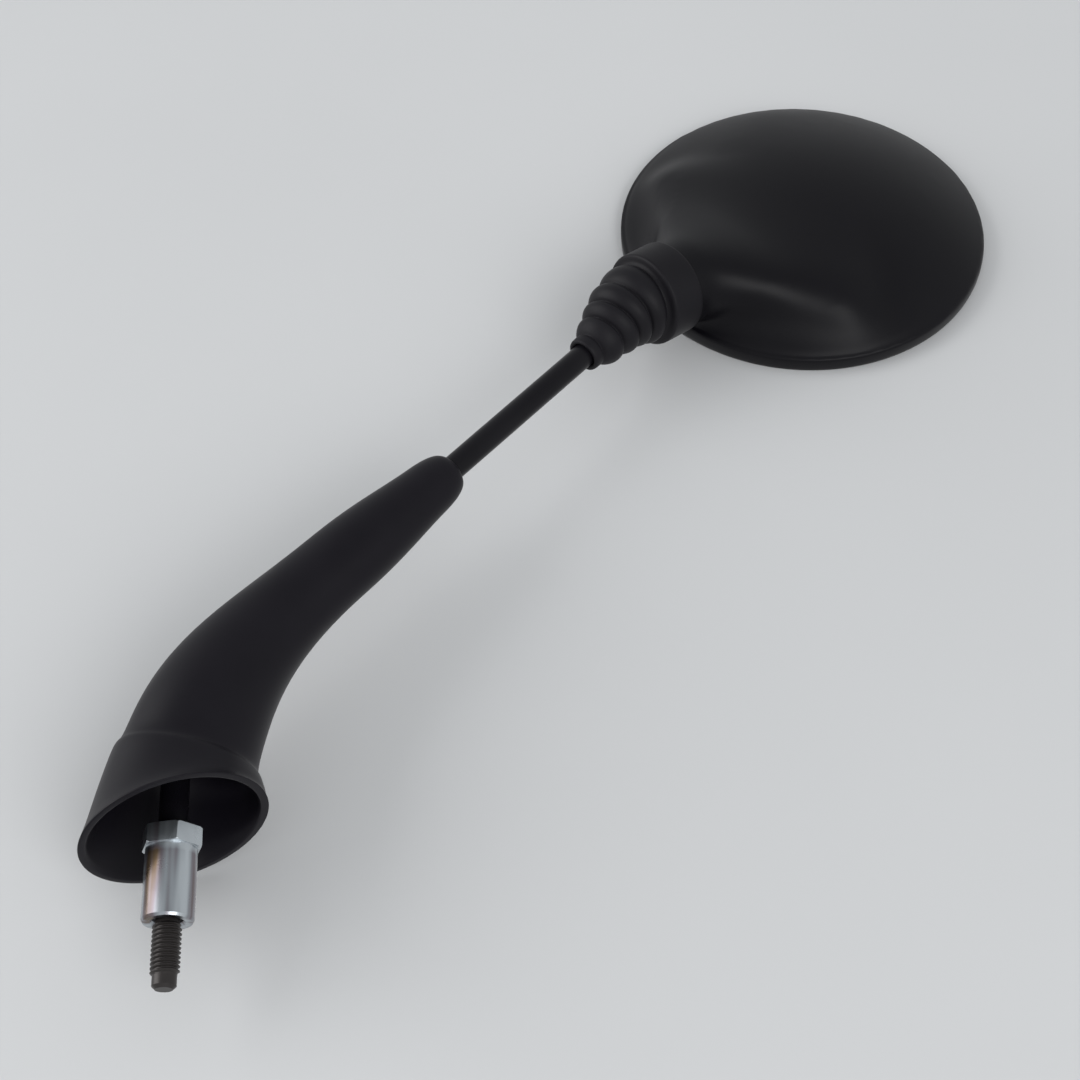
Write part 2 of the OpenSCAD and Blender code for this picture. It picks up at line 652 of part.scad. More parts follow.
// Outer radius along the bellows: rounded folds with sharp grooves
function fold_r(t) = fold_peak(t) - fold_depth * (1 - sqrt(abs(sin(180 * FOLDS * t))));
function fold_ring(t, r) =
    ring(bezier(boot_spine, t), unit(bezier([for (i = [0:2]) boot_spine[i + 1] - boot_spine[i]], t)),
         r, r, AROUND_BOOT);
// Rings on the stem, by distance from the lip's free end, and on the neck, from the ball's centre
function lip_ring(run, r) =
    ring(on_stem(stem_run - boot_run + run), leaning(rod_lean), r, r, AROUND_BOOT);
function cuff_ring(d, r) = ring(ball_centre + d * neck_axis, neck_axis, r, r, AROUND_BOOT);

module bellows_boot() {
    flat = 1 / cos(180 / AROUND_BOOT);
    grip_r = (rod_r + boot_clearance) * flat;
    cuff_in_r = (neck_r + boot_clearance) * flat;
    steps = FOLDS * FOLD_STEPS;
    edge = boot_wall / 2;
    // The cuff's inner shoulder lies just outside the neck's mouth
    shoulder = -neck_mouth - 2 * seat_gap;
    fold_in_r = fold_large_r - fold_depth - boot_wall;
    color([0.12, 0.12, 0.12]) tube_skin(concat(
        [lip_ring(0, boot_lip_r - edge), lip_ring(edge, boot_lip_r)],
        [lip_ring(boot_lip_len - edge, boot_lip_r)],
        [for (i = [0:steps]) fold_ring(i / steps, fold_r(i / steps))],
        [cuff_ring(collar_start + edge / 2, collar_r), cuff_ring(cuff_end - cuff_len, collar_r)],
        [cuff_ring(cuff_end - cuff_len + edge / 2, cuff_r), cuff_ring(cuff_end - edge, cuff_r)],
        [cuff_ring(cuff_end, cuff_r - edge), cuff_ring(cuff_end, cuff_in_r)],
        [cuff_ring(shoulder, cuff_in_r), cuff_ring(shoulder, fold_in_r)],
        [for (i = [steps:-2:0])
            fold_ring(i / steps, fold_peak(i / steps) - fold_depth - boot_wall)],
        [lip_ring(boot_lip_len - edge, grip_r), lip_ring(0, grip_r)]));
}

stem_rod();
stem_ball();
arm_cover();
lock_nut();
bellows_boot();
ball_liner();
head_shell();
socket_cup();
thrust_cup();
disc_spring_front();
disc_spring_back();
clamp_plate();
for (i = [1:SCREWS])
    clamp_screw(i);
backing_plate();
glass_pad();
mirror_glass();
glass_bezel();
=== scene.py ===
# %% [markdown]
# # A motorcycle mirror, dressed from its CAD frame
# The imported CAD model gives the true sizes and places of every piece, in metres. This lesson adds
# what CAD leaves out: the cut thread, the soft folds of the bellows, rounded rubber edges, and the
# finishes. We load the frame first.

# %% Load the frame
import json
import math

import bmesh
import bpy
from mathutils import Matrix, Vector


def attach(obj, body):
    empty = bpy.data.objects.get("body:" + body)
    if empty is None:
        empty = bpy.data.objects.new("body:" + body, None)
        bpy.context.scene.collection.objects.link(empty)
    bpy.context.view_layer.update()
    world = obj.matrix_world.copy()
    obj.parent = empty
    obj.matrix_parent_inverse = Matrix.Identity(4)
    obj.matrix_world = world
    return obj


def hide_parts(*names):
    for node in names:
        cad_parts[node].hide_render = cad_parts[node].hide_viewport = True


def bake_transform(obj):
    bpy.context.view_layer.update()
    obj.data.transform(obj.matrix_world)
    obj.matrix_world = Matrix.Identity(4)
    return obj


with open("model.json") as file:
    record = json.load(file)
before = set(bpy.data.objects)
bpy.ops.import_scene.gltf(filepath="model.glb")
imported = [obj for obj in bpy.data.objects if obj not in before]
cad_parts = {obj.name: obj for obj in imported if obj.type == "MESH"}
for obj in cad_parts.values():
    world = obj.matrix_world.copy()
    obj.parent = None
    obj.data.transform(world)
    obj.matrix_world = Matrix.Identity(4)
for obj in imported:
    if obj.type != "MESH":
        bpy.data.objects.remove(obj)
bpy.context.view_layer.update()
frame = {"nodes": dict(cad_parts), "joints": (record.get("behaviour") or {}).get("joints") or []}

MM = 0.001
nodes = frame["nodes"]

# %% [markdown]
# ## The bent rod's own directions
# The stud stands on the Z axis. Above the bend the rod leans over, and the head hangs on a ball at
# the rod's end. The joints in the record already hold that ball's centre and the two axes that the
# bellows joins, so we read them there and never measure them by eye.

# %% Read the ball joint
joints = {joint["name"]: joint for joint in frame["joints"]}
ball = Vector(joints["ball_tilt"]["pos_m"])
stem_way = Vector(joints["ball_swivel"]["axis"]).normalized()
neck_way = Vector(joints["neck_spin"]["axis"]).normalized()
lean = math.acos(stem_way.z)
print("ball at", tuple(ball), "lean", round(math.degrees(lean), 2), "degrees")

# %% [markdown]
# ## The camera
# The photograph looks down on the mirror's back from its foot, with a lens of about 60 mm on a
# full frame. A camera looks along its own -Z, so its rotation is built from three directions:
# right, up and backwards.

# %% Camera
LENS, SENSOR_WIDTH, CLIP_START = 60.62, 36, 0.01
camera_at = Vector((-0.01496, 0.47888, -0.15701))
right = Vector((-0.98588, 0.16072, -0.04702)).normalized()
forward = Vector((-0.16262, -0.85189, 0.49784)).normalized()
up = right.cross(forward).normalized()
right = forward.cross(up).normalized()

camera_data = bpy.data.cameras.new("camera")
camera_data.lens = LENS
camera_data.sensor_width = SENSOR_WIDTH
camera_data.clip_start = CLIP_START
camera = bpy.data.objects.new("camera", camera_data)
turn = Matrix((right, up, -forward)).transposed()
camera.matrix_world = Matrix.Translation(camera_at) @ turn.to_4x4()
bpy.context.scene.collection.objects.link(camera)
bpy.context.scene.camera = camera
print("camera", round((ball - camera_at).length, 3), "m from the ball")

# %% [markdown]
# ## Materials from noise, not from pictures
# Moulded rubber and plastic are never one flat colour. A fine noise moves the roughness and the
# height a little, and a slow one moves the colour. All of it reads Object coordinates, so the
# grain sits still on the piece wherever the piece turns.

# %% A material and its noise


def new_material(name, colour, metallic=0.0, roughness=0.5, specular=0.5):
    material = bpy.data.materials.new(name)
    material.use_nodes = True
    shader = material.node_tree.nodes["Principled BSDF"]
    shader.inputs["Base Color"].default_value = (*colour, 1)
    shader.inputs["Metallic"].default_value = metallic
    shader.inputs["Roughness"].default_value = roughness
    shader.inputs["Specular IOR Level"].default_value = specular
    return material, material.node_tree, shader


def object_noise(tree, scale, detail, stretch=(1, 1, 1), shift=(0, 0, 0)):
    place = tree.nodes.new("ShaderNodeTexCoord")
    mapping = tree.nodes.new("ShaderNodeMapping")
    mapping.inputs["Location"].default_value = shift
    mapping.inputs["Scale"].default_value = stretch
    noise = tree.nodes.new("ShaderNodeTexNoise")
    noise.inputs["Scale"].default_value = scale
    noise.inputs["Detail"].default_value = detail
    tree.links.new(place.outputs["Object"], mapping.inputs["Vector"])
    tree.links.new(mapping.outputs["Vector"], noise.inputs["Vector"])
    return noise.outputs["Fac"]


# %% [markdown]
# ## What a noise moves
# A noise seldom comes near 0 or 1, so only its middle part is spread over the two values that we
# want: two numbers for the roughness, or two colours. Heights are layered, and each Bump node
# passes its normal on to the next.

# %% Spread a noise over numbers, colours and heights
NOISE_LOW, NOISE_HIGH = 0.3, 0.7
TINT_LOW, TINT_HIGH = 0.35, 0.68


def vary(tree, source, low, high, socket):
    spread = tree.nodes.new("ShaderNodeMapRange")
    spread.inputs["From Min"].default_value = NOISE_LOW
    spread.inputs["From Max"].default_value = NOISE_HIGH
    spread.inputs["To Min"].default_value = low
    spread.inputs["To Max"].default_value = high
    tree.links.new(source, spread.inputs["Value"])
    tree.links.new(spread.outputs["Result"], socket)


def tint(tree, source, dark, light, socket):
    ramp = tree.nodes.new("ShaderNodeValToRGB")
    ramp.color_ramp.elements[0].position = TINT_LOW
    ramp.color_ramp.elements[0].color = (*dark, 1)
    ramp.color_ramp.elements[1].position = TINT_HIGH
    ramp.color_ramp.elements[1].color = (*light, 1)
    tree.links.new(source, ramp.inputs["Fac"])
    tree.links.new(ramp.outputs["Color"], socket)


def bumps(tree, shader, *layers):
    normal = None
    for source, height, strength in layers:
        bump = tree.nodes.new("ShaderNodeBump")
        bump.inputs["Distance"].default_value = height
        bump.inputs["Strength"].default_value = strength
        tree.links.new(source, bump.inputs["Height"])
        if normal:
            tree.links.new(normal, bump.inputs["Normal"])
        normal = bump.outputs["Normal"]
    tree.links.new(normal, shader.inputs["Normal"])


# %% [markdown]
# ## Black rubber and black plastic
# The arm cover is smooth rubber with a soft sheen, and handling leaves it slightly blotched. The
# bellows is the same rubber without the polish. The head is harder plastic with a fine grain from
# its spark-eroded mould, so its highlights spread out evenly.

# %% Rubber and plastic
DENT_HEIGHT, DENT_STRENGTH, GRAIN_STRENGTH = 0.15 * MM, 0.25, 0.5


def moulded(name, dark, light, rough, grain, grain_height, blotch=38, specular=0.16):
    material, tree, shader = new_material(
        name, dark, roughness=sum(rough) / 2, specular=specular
    )
    slow = object_noise(tree, blotch, detail=4)
    fine = object_noise(tree, grain, detail=2)
    tint(tree, slow, dark, light, shader.inputs["Base Color"])
    vary(tree, slow, rough[0], rough[1], shader.inputs["Roughness"])
    dents = (slow, DENT_HEIGHT, DENT_STRENGTH)
    bumps(tree, shader, dents, (fine, grain_height, GRAIN_STRENGTH))
    return material


arm_rubber = moulded(
    "arm_rubber",
    dark=(0.0048, 0.004, 0.0068),
    light=(0.0068, 0.0058, 0.009),
    rough=(0.4, 0.5),
    grain=2600,
    grain_height=0.02 * MM,
)
boot_rubber = moulded(
    "boot_rubber",
    dark=(0.0062, 0.0056, 0.0076),
    light=(0.0092, 0.0085, 0.011),
    rough=(0.46, 0.58),
    grain=2400,
    grain_height=0.025 * MM,
)
head_plastic = moulded(
    "head_plastic",
    dark=(0.0024, 0.0021, 0.0036),
    light=(0.0036, 0.0033, 0.005),
    rough=(0.38, 0.46),
    grain=3200,
    grain_height=0.03 * MM,
    blotch=24,
)
print("made", arm_rubber.name, boot_rubber.name, head_plastic.name)

# %% [markdown]
# ## Blackened steel and the hidden plastics
# The rod is blackened, and its black layer hides the metal, so it is made like the mouldings, only
# smoother. The bearing liner is natural plastic, the cup and the plate are plain black, and the
# pad behind the glass is foam. They are hidden while the head is whole, but a part that is taken
# apart should look right too.

# %% Black layer, liner, cup and foam
black_steel = moulded(
    "black_steel",
    dark=(0.004, 0.0036, 0.0052),
    light=(0.0065, 0.006, 0.008),
    rough=(0.24, 0.34),
    grain=1400,
    grain_height=0.01 * MM,
)
liner_plastic = moulded(
    "liner_plastic",
    dark=(0.72, 0.69, 0.6),
    light=(0.8, 0.77, 0.7),
    rough=(0.35, 0.45),
    grain=1500,
    grain_height=0.01 * MM,
    specular=0.5,
)
cup_plastic = moulded(
    "cup_plastic",
    dark=(0.05, 0.05, 0.052),
    light=(0.07, 0.07, 0.072),
    rough=(0.45, 0.6),
    grain=1800,
    grain_height=0.03 * MM,
)
foam = moulded(
    "pad_foam",
    dark=(0.06, 0.06, 0.06),
    light=(0.09, 0.09, 0.09),
    rough=(0.8, 0.95),
    grain=900,
    grain_height=0.15 * MM,
)
print("made", black_steel.name, liner_plastic.name, cup_plastic.name, foam.name)

# %% [markdown]
# ## Bare steel
# Ground or turned steel is never polished quite evenly, so a noise moves its roughness and its
# colour, and a finer one roughens its surface. The cut thread is darker, with the brown of oil in
# it, and only partly metallic.

# %% Steel
POLISH_SCALE, POLISH_SPREAD, PALER = 180, 0.06, 1.12
GRIT_SCALE, GRIT_HEIGHT, GRIT_STRENGTH = 900, 0.01 * MM, 0.3


def metal(name, colour, roughness, metallic=1.0, stains_and_shade=None, rings=None):
    material, tree, shader = new_material(name, colour, metallic, roughness)
    polish = object_noise(tree, POLISH_SCALE, detail=4)
    rough_low, rough_high = roughness - POLISH_SPREAD, roughness + POLISH_SPREAD
    vary(tree, polish, rough_low, rough_high, shader.inputs["Roughness"])
    if stains_and_shade:
        stains_and_shade(tree, shader.inputs["Base Color"])
    else:
        paler = tuple(min(1, channel * PALER) for channel in colour)
        tint(tree, polish, colour, paler, shader.inputs["Base Color"])
    layers = [(object_noise(tree, GRIT_SCALE, detail=3), GRIT_HEIGHT, GRIT_STRENGTH)]
    if rings:
        layers.append(rings(tree))
    bumps(tree, shader, *layers)
    return material


thread_steel = metal("thread_steel", (0.036, 0.032, 0.031), roughness=0.4, metallic=0.6)
bright_steel = metal("bright_steel", (0.55, 0.56, 0.57), roughness=0.3)
spring_steel = metal("spring_steel", (0.32, 0.32, 0.34), roughness=0.34)
print("made", thread_steel.name, bright_steel.name, spring_steel.name)

# %% [markdown]
# ## Stains and painted shade on the zinc plate
# The nut's zinc bath left brown and violet stains that ran along its sleeve. The noise that picks
# the colour is therefore drawn out along Z. It is shifted so that its darkest brown lies on the
# sleeve's left third, where it is partly a real stain and partly painted shade that dims the
# window lamp's highlight. The hexagon stayed clean, so above the sleeve the noise is lifted to its
# pale end.

# %% Stains and painted shade
STAIN_AND_SHADE_COLOURS = (
    (0.33, (0.12, 0.084, 0.052)),
    (0.43, (0.21, 0.185, 0.205)),
    (0.52, (0.37, 0.4, 0.43)),
    (0.63, (0.51, 0.55, 0.58)),
)
# The shift puts the darkest brown on the sleeve's left third: a stain there, and painted shade over
# the lamp's highlight.
STAIN_SCALE, STAIN_STRETCH, STAIN_AND_SHADE_SHIFT = 210, (1, 1, 0.06), (0.021, 0.013, 0)
FADE_FROM, FADE_TO, FADE_LIFT = 18.4 * MM, 20.4 * MM, 0.16


def zinc_stains_and_shade(tree, socket):
    ramp = tree.nodes.new("ShaderNodeValToRGB")
    steps = ramp.color_ramp.elements
    for position, colour in STAIN_AND_SHADE_COLOURS:
        steps.new(position).color = (*colour, 1)
    steps.remove(steps[0])
    steps.remove(steps[-1])
    place = tree.nodes.new("ShaderNodeTexCoord")
    height = tree.nodes.new("ShaderNodeSeparateXYZ")
    lift = tree.nodes.new("ShaderNodeMapRange")
    lift.inputs["From Min"].default_value = FADE_FROM
    lift.inputs["From Max"].default_value = FADE_TO
    lift.inputs["To Max"].default_value = FADE_LIFT
    total = tree.nodes.new("ShaderNodeMath")
    tree.links.new(place.outputs["Object"], height.inputs["Vector"])
    tree.links.new(height.outputs["Z"], lift.inputs["Value"])
    stain_and_shade_runs = object_noise(tree, STAIN_SCALE, 2, STAIN_STRETCH, STAIN_AND_SHADE_SHIFT)
    tree.links.new(stain_and_shade_runs, total.inputs[0])
    tree.links.new(lift.outputs["Result"], total.inputs[1])
    tree.links.new(total.outputs["Value"], ramp.inputs["Fac"])
    tree.links.new(ramp.outputs["Color"], socket)


# %% [markdown]
# ## Turned and plated
# The sleeve was turned on a lathe before it was plated, so it carries faint rings round its axis.
# They come from a noise that changes quickly along Z and hardly at all across it.

# %% Zinc
RING_SCALE, RING_STRETCH = 4200, (0.02, 0.02, 1)
RING_HEIGHT, RING_STRENGTH = 0.012 * MM, 0.6


def lathe_rings(tree):
    return object_noise(tree, RING_SCALE, 2, RING_STRETCH), RING_HEIGHT, RING_STRENGTH


zinc = metal(
    "zinc_plate", (0.42, 0.45, 0.48), roughness=0.3, stains_and_shade=zinc_stains_and_shade, rings=lathe_rings
)
print("made", zinc.name, "with", len(STAIN_AND_SHADE_COLOURS), "stain colours")

# %% [markdown]
# ## The convex glass
# The glass is silvered on its back. From the front it acts as a slightly dark, very smooth metal,
# and a clear coat gives the glass's own surface over it. A thin film of dust and grease, as on any
# mirror, changes the roughness slowly across it.

# %% Mirror glass
COAT_WEIGHT, COAT_ROUGH = 0.6, 0.01
FILM_SCALE, FILM_LOW, FILM_HIGH = 14, 0.015, 0.045

silvered, silver_tree, silver_shader = new_material(
    "silvered_glass", (0.78, 0.81, 0.83), metallic=1.0, roughness=0.02
)
silver_shader.inputs["Coat Weight"].default_value = COAT_WEIGHT
silver_shader.inputs["Coat Roughness"].default_value = COAT_ROUGH
film = object_noise(silver_tree, FILM_SCALE, detail=3)
vary(silver_tree, film, FILM_LOW, FILM_HIGH, silver_shader.inputs["Roughness"])
print("made", silvered.name)

# %% [markdown]
# ## Dress the CAD nodes that stay
# Where the CAD shape is already right, only the finish is missing: each node keeps its own mesh
# and gets one material.

# %% Give each node its finish
FINISHES = {
    "stem_ball": bright_steel,
    "ball_liner": liner_plastic,
    "thrust_cup": liner_plastic,
    "socket_cup": cup_plastic,
    "disc_spring_front": spring_steel,
    "disc_spring_back": spring_steel,
    "clamp_plate": zinc,
    "clamp_screw_1": zinc,
    "clamp_screw_2": zinc,
    "clamp_screw_3": zinc,
    "clamp_screw_4": zinc,
    "backing_plate": cup_plastic,
    "glass_pad": foam,
    "mirror_glass": silvered,
    "glass_bezel": head_plastic,
}
for node_name, finish in FINISHES.items():
    slots = nodes[node_name].data.materials
    slots.clear()
    slots.append(finish)
print("dressed", len(FINISHES), "nodes")

# %% [markdown]
# ## Refining a copy of a CAD skin
# The CAD skins of the arm, the head and the bellows are woven from rings of flat triangles. A
# copy is merged, its triangles are joined back into the four-sided faces that they came from,
# and a subdivision surface rounds it. Edges that are sharp on the real moulding get a crease,
# so that the surface keeps them.

# %% Copy, merge and crease
MERGE, FLAT, SQUARE = 0.002 * MM, math.radians(40), math.radians(60)


def merged_copy(name):
    mesh = bmesh.new()
    mesh.from_mesh(nodes[name].data)
    bmesh.ops.remove_doubles(mesh, verts=mesh.verts, dist=MERGE)
    return mesh


def quad_copy(name):
    mesh = merged_copy(name)
    bmesh.ops.join_triangles(
        mesh, faces=mesh.faces, angle_face_threshold=FLAT, angle_shape_threshold=SQUARE
    )
    return mesh


def crease_sharp(mesh, degrees, weight):
    layer = mesh.edges.layers.float.new("crease_edge")
    for edge in mesh.edges:
        if len(edge.link_faces) == 2 and edge.calc_face_angle() > math.radians(degrees):
            edge[layer] = weight


# %% [markdown]
# ## From a mesh to a piece
# Every piece takes the same last steps: it becomes an object, gets its finish and rides on its
# body. A curved wall should look smooth and its edges should stay sharp, so all faces are shaded
# smooth, and on turned metal the steep edges are marked sharp. That is stored in the mesh.

# %% Make a piece


def mark_steep(mesh, degrees):
    for edge in mesh.edges:
        open_edge = len(edge.link_faces) != 2
        edge.smooth = not (open_edge or edge.calc_face_angle() > math.radians(degrees))


def as_piece(mesh, name, material, body, levels=0, sharp=None):
    for face in mesh.faces:
        face.smooth = True
    if sharp:
        mark_steep(mesh, sharp)
    data = bpy.data.meshes.new(name)
    mesh.to_mesh(data)
    mesh.free()
    data.materials.append(material)
    piece = bpy.data.objects.new(name, data)
    bpy.context.scene.collection.objects.link(piece)
    if levels:
        rounder = piece.modifiers.new("round", "SUBSURF")
        rounder.levels = levels
        rounder.render_levels = levels
    if body:
        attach(piece, body)
    print(name, len(data.vertices), "points before its modifiers")
    return piece


# %% [markdown]
# ## The arm cover
# This is one rubber moulding, pulled over the rod: a curved, tapering arm that opens into a skirt
# over the lock nut. Only its skirt's lip and the step of its shoulder stay crisp.

# %% Arm cover
arm_mesh = quad_copy("arm_cover")
crease_sharp(arm_mesh, degrees=42, weight=0.55)
arm = as_piece(arm_mesh, "arm_cover_rubber", arm_rubber, "stem", levels=2)
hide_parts("arm_cover")

# %% [markdown]
# ## The head's shell
# The back of the head and its neck are one hard moulding, run together by a wide fairing. The
# subdivision keeps that fairing free of facets, and the crease keeps the rim's edge.

# %% Head shell
head_mesh = quad_copy("head_shell")
crease_sharp(head_mesh, degrees=60, weight=0.4)
head = as_piece(head_mesh, "head_shell_plastic", head_plastic, "head", levels=2)
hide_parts("head_shell")

# %% [markdown]
# ## How the bellows is swept
# The bellows is lathe-like, but bent: its folds are squeezed on the side that the head tilts to.
# A spin can't bend, so we extrude a ring again and again along a curved spine, and each new ring
# gets its own place, direction and radius, which we call a station. The last ring is bridged to
# the first, and that closes the rubber's wall.

# %% Sweep a ring along stations


def ring_edges(parts):
    return [part for part in parts if isinstance(part, bmesh.types.BMEdge)]


def ring_verts(parts):
    return [part for part in parts if isinstance(part, bmesh.types.BMVert)]


def station(centre, way, radius):
    side = Vector((0, 1, 0)).cross(way).normalized()
    back = way.cross(side)
    turned = Matrix((side, back, way)).transposed().to_4x4()
    size = Matrix.Diagonal((radius, radius, radius, 1))
    return Matrix.Translation(centre) @ turned @ size


def sweep(stations, segments):
    mesh = bmesh.new()
    made = bmesh.ops.create_circle(mesh, radius=1, segments=segments)
    bmesh.ops.transform(mesh, matrix=stations[0], verts=made["verts"])
    first = list(mesh.edges)
    ring = first
    for before, after in zip(stations, stations[1:]):
        grown = bmesh.ops.extrude_edge_only(mesh, edges=ring)["geom"]
        ring = ring_edges(grown)
        step_on = after @ before.inverted()
        bmesh.ops.transform(mesh, matrix=step_on, verts=ring_verts(grown))
    bmesh.ops.bridge_loops(mesh, edges=first + ring)
    bmesh.ops.recalc_face_normals(mesh, faces=mesh.faces)
    return mesh


# %% [markdown]
# ## The bellows' spine
# The folds start at the lip that grips the rod, and end before the cuff that grips the neck. The
# spine between them is a Bezier curve that leaves along the rod and arrives along the neck.

# %% Spine
CUFF_R, CUFF_END, CUFF_LEN = 16.3 * MM, 7.4 * MM, 12.9 * MM
WAIST_R, WAIST_LEN = 13.3 * MM, 1.3 * MM
LIP_R, LIP_LEN, BOOT_RUN = 6 * MM, 4.2 * MM, 38 * MM
SPINE_HOLD = 0.3 * BOOT_RUN

cuff_start = CUFF_END - CUFF_LEN
fold_start = ball - (BOOT_RUN - LIP_LEN) * stem_way
fold_end = ball + (cuff_start - WAIST_LEN) * neck_way
spine = [
    fold_start,
    fold_start + SPINE_HOLD * stem_way,
    fold_end - SPINE_HOLD * neck_way,
    fold_end,
]


def along(points, share):
    while len(points) > 1:
        points = [a.lerp(b, share) for a, b in zip(points, points[1:])]
    return points[0]


print("folds run over", round((fold_end - fold_start).length / MM, 1), "mm")

# %% [markdown]
# ## The folds
# Each fold swells as a half wave does. Its square root makes the fold round and the groove between
# two folds narrow. The folds grow towards the neck, and their grooves are a little deeper than in
# the CAD solid. The inside follows at an even depth, so the rubber has a real wall.

# %% Fold stations
FOLDS, FOLD_SMALL, FOLD_LARGE, FOLD_DEPTH = 4, 7.5 * MM, 14.9 * MM, 1.9 * MM
GROOVE_EXTRA, GROWTH, WALL = 0.5 * MM, 0.85, 1.0 * MM
PER_FOLD_OUT, PER_FOLD_IN = 16, 4


def fold_station(share, radius):
    ways = [b - a for a, b in zip(spine, spine[1:])]
    return station(along(spine, share), along(ways, share).normalized(), radius)


def fold_peak(share):
    return FOLD_SMALL + (FOLD_LARGE - FOLD_SMALL) * share**GROWTH


def fold_outside(share):
    swell = math.sqrt(abs(math.sin(math.pi * FOLDS * share)))
    return fold_peak(share) - (FOLD_DEPTH + GROOVE_EXTRA) * (1 - swell)


def fold_inside(share):
    return fold_peak(share) - FOLD_DEPTH - WALL


def shares(per_fold):
    return [step / (FOLDS * per_fold) for step in range(FOLDS * per_fold + 1)]


folds_out = [fold_station(share, fold_outside(share)) for share in shares(PER_FOLD_OUT)]
folds_in = [fold_station(share, fold_inside(share)) for share in shares(PER_FOLD_IN)]
print(len(folds_out), "stations outside,", len(folds_in), "inside")

# %% [markdown]
# ## Lip, cuff and the whole bellows
# The lip is a short tube round the rod, and the cuff a longer one over the neck, with a waist
# before it. Each row gives a distance and a radius: along the rod for the lip, and from the ball
# along the neck for the cuff. The stations run up the outside and come back on the inside.

# %% Bellows
ROD_IN, NECK_IN, SHOULDER = 4.1 * MM, 15.0 * MM, -5.3 * MM
LIP = (
    (0, ROD_IN),
    (0, LIP_R - 0.5 * MM),
    (0.5 * MM, LIP_R),
    (LIP_LEN - 1 * MM, LIP_R),
    (LIP_LEN - 0.4 * MM, LIP_R),
)
CUFF = (
    (cuff_start - 0.6 * MM, WAIST_R),
    (cuff_start - 0.1 * MM, WAIST_R + 0.6 * MM),
    (cuff_start, CUFF_R - 0.8 * MM),
    (cuff_start + 0.4 * MM, CUFF_R - 0.2 * MM),
    (cuff_start + 0.8 * MM, CUFF_R),
    (cuff_start + 1.6 * MM, CUFF_R),
    (CUFF_END - 1 * MM, CUFF_R),
    (CUFF_END - 0.5 * MM, CUFF_R),
    (CUFF_END, CUFF_R - 0.4 * MM),
    (CUFF_END, NECK_IN + 0.3 * MM),
    (CUFF_END - 0.4 * MM, NECK_IN),
    (SHOULDER + 0.3 * MM, NECK_IN),
    (SHOULDER, NECK_IN),
    (SHOULDER, fold_inside(1)),
)


def lip_station(run, radius):
    return station(ball + (run - BOOT_RUN) * stem_way, stem_way, radius)


def cuff_station(distance, radius):
    return station(ball + distance * neck_way, neck_way, radius)


stations = [lip_station(run, radius) for run, radius in LIP] + folds_out
stations += [cuff_station(distance, radius) for distance, radius in CUFF]
stations += folds_in[::-1] + [lip_station(LIP_LEN - 0.6 * MM, ROD_IN)]

boot_mesh = sweep(stations, segments=56)
boot = as_piece(boot_mesh, "bellows_rubber", boot_rubber, None, levels=1)
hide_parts("bellows_boot")
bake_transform(boot)

# %% [markdown]
# ## The rod
# The rod is one bar of steel: bent cold, threaded at its foot and riveted into the ball. A ring is
# extruded up the straight, spun round the bend's centre and extruded on along the stem, as the bar
# itself runs.

# %% Rod
ROD_R, BEND_R, BEND_HEIGHT, STEM_RUN = 4 * MM, 26 * MM, 64.2 * MM, 217.4 * MM
GROOVE_TOP, BALL_FLAT = 1.5 * MM, 3.5 * MM
bend_cut = BEND_R * math.tan(lean / 2)
bend_foot = BEND_HEIGHT - bend_cut


def extrude_ring(mesh, ring, shift):
    grown = bmesh.ops.extrude_edge_only(mesh, edges=ring)["geom"]
    bmesh.ops.translate(mesh, verts=ring_verts(grown), vec=shift)
    return ring_edges(grown)


rod_mesh = bmesh.new()
foot = bmesh.ops.create_circle(rod_mesh, cap_ends=True, radius=ROD_R, segments=64)
bmesh.ops.translate(rod_mesh, verts=foot["verts"], vec=(0, 0, GROOVE_TOP))
ring = extrude_ring(rod_mesh, list(rod_mesh.edges), Vector((0, 0, bend_foot - GROOVE_TOP)))
spun = bmesh.ops.spin(
    rod_mesh,
    geom=ring + list({vert for edge in ring for vert in edge.verts}),
    cent=(-BEND_R, 0, bend_foot),
    axis=(0, -1, 0),
    angle=lean,
    steps=18,
    use_duplicate=False,
)
ring = ring_edges(spun["geom_last"])
ring = extrude_ring(rod_mesh, ring, stem_way * (STEM_RUN - bend_cut - BALL_FLAT))
bmesh.ops.holes_fill(rod_mesh, edges=ring, sides=0)
bmesh.ops.recalc_face_normals(rod_mesh, faces=rod_mesh.faces)
rod = as_piece(rod_mesh, "bent_rod", black_steel, "stem", sharp=40)
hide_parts("stem_rod")

# %% [markdown]
# ## The stud's thread
# A die cuts the thread while it turns and climbs by one pitch each turn. A small tooth profile is
# spun the same way: round the axis, with a step upwards. Each row of the tooth gives a radius and
# a share of the pitch.

# %% Tooth
PITCH, ROOT_R, CREST_R = 1.25 * MM, 3.36 * MM, 3.97 * MM
STUD_LEN, POINT_LEN = 17.7 * MM, 3.6 * MM
PER_TURN, STEP_MERGE = 40, 0.005 * MM
TOOTH = ((ROOT_R, 0), (ROOT_R, 0.1), (CREST_R, 0.44), (CREST_R, 0.56), (ROOT_R, 0.9), (ROOT_R, 1))
thread_low, thread_high = POINT_LEN - STUD_LEN, 0
turns = math.ceil((thread_high - thread_low) / PITCH) + 1

